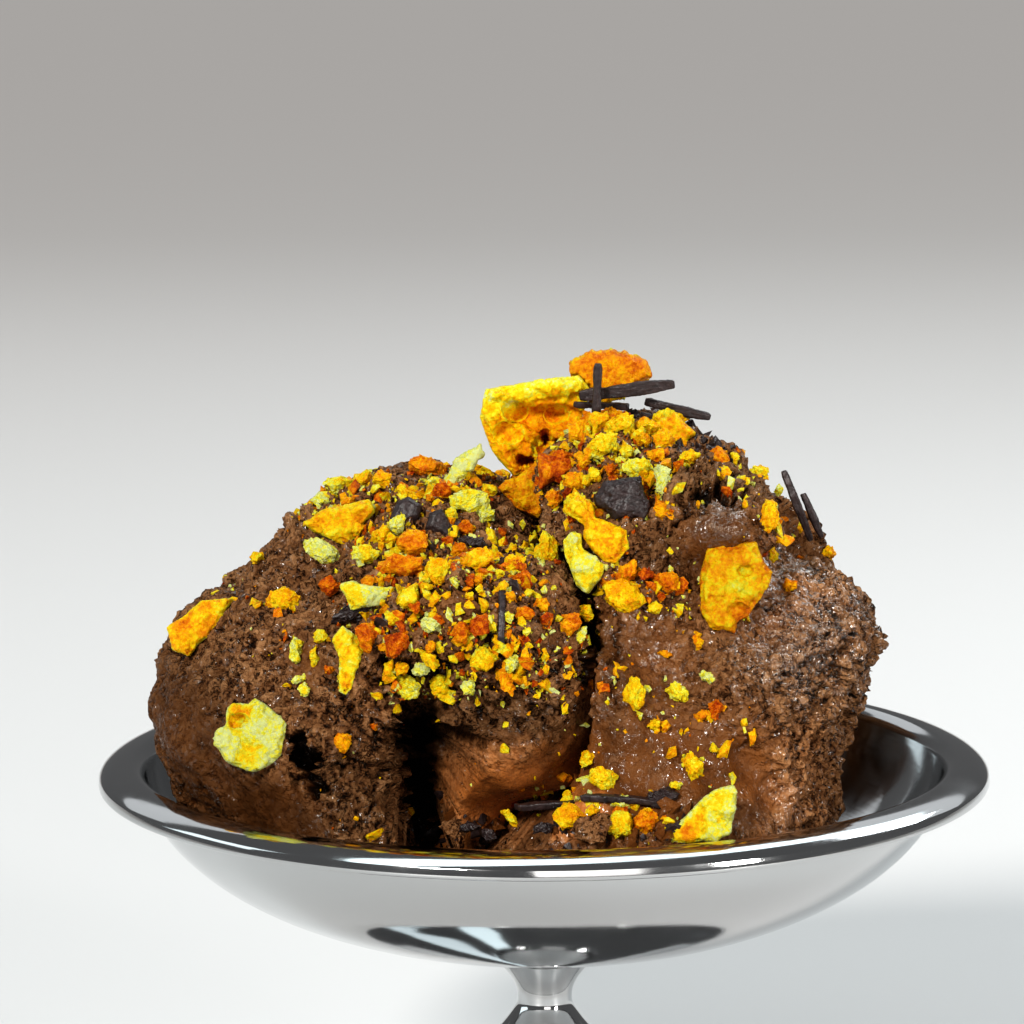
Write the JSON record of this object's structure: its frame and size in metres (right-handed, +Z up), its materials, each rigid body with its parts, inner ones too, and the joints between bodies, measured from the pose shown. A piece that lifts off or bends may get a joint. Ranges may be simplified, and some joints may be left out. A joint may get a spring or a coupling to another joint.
{
  "type": "chocolate mousse in footed steel cup",
  "caption": "Footed polished steel dessert cup heaped with torn spoonfuls of chocolate mousse, topped with broken honeycomb toffee, dark chocolate chunks, shavings and crumbs.",
  "frame": {"origin": "centre of the flat ring under the foot, on the surface the cup stands on", "axes": "+Z up, -Y towards the front of the heap, +X to its right"},
  "size_m": [0.11, 0.11, 0.1058],
  "materials": {
    "steel": "mirror-polished stainless steel sheet",
    "mousse": "aerated chocolate mousse, matt and torn, smooth and moist where the spoon passed",
    "toffee_gold": "porous honeycomb toffee, golden, slightly glassy",
    "toffee_pale": "pale aerated honeycomb toffee",
    "toffee_amber": "darker caramelised honeycomb toffee, glassy",
    "dark_chocolate": "dark chocolate, satin, with a slight bloom"
  },
  "bodies": {
    "root": {"cup_bowl": "steel", "cup_pedestal": "steel", "mousse_left": "mousse", "mousse_right": "mousse", "mousse_back": "mousse", "honeycomb_peak": "toffee_gold", "honeycomb_cap": "toffee_gold", "honeycomb_gold": "toffee_gold", "honeycomb_bright": "toffee_gold", "honeycomb_right": "toffee_gold", "honeycomb_strip": "toffee_gold", "honeycomb_wedge": "toffee_gold", "honeycomb_tall": "toffee_gold", "honeycomb_far": "toffee_gold", "honeycomb_lean": "toffee_pale", "honeycomb_plate": "toffee_pale", "honeycomb_low": "toffee_pale", "honeycomb_foot": "toffee_pale", "honeycomb_brow": "toffee_amber", "honeycomb_amber": "toffee_amber", "chocolate_chunk": "dark_chocolate", "chocolate_square": "dark_chocolate", "chocolate_wedge": "dark_chocolate", "shaving_upright": "dark_chocolate", "shaving_long": "dark_chocolate", "shaving_short": "dark_chocolate", "shaving_side": "dark_chocolate", "shaving_fork_left": "dark_chocolate", "shaving_fork_right": "dark_chocolate", "shaving_low_left": "dark_chocolate", "shaving_low_right": "dark_chocolate", "shaving_sunk": "dark_chocolate"}
  },
  "joints": []
}
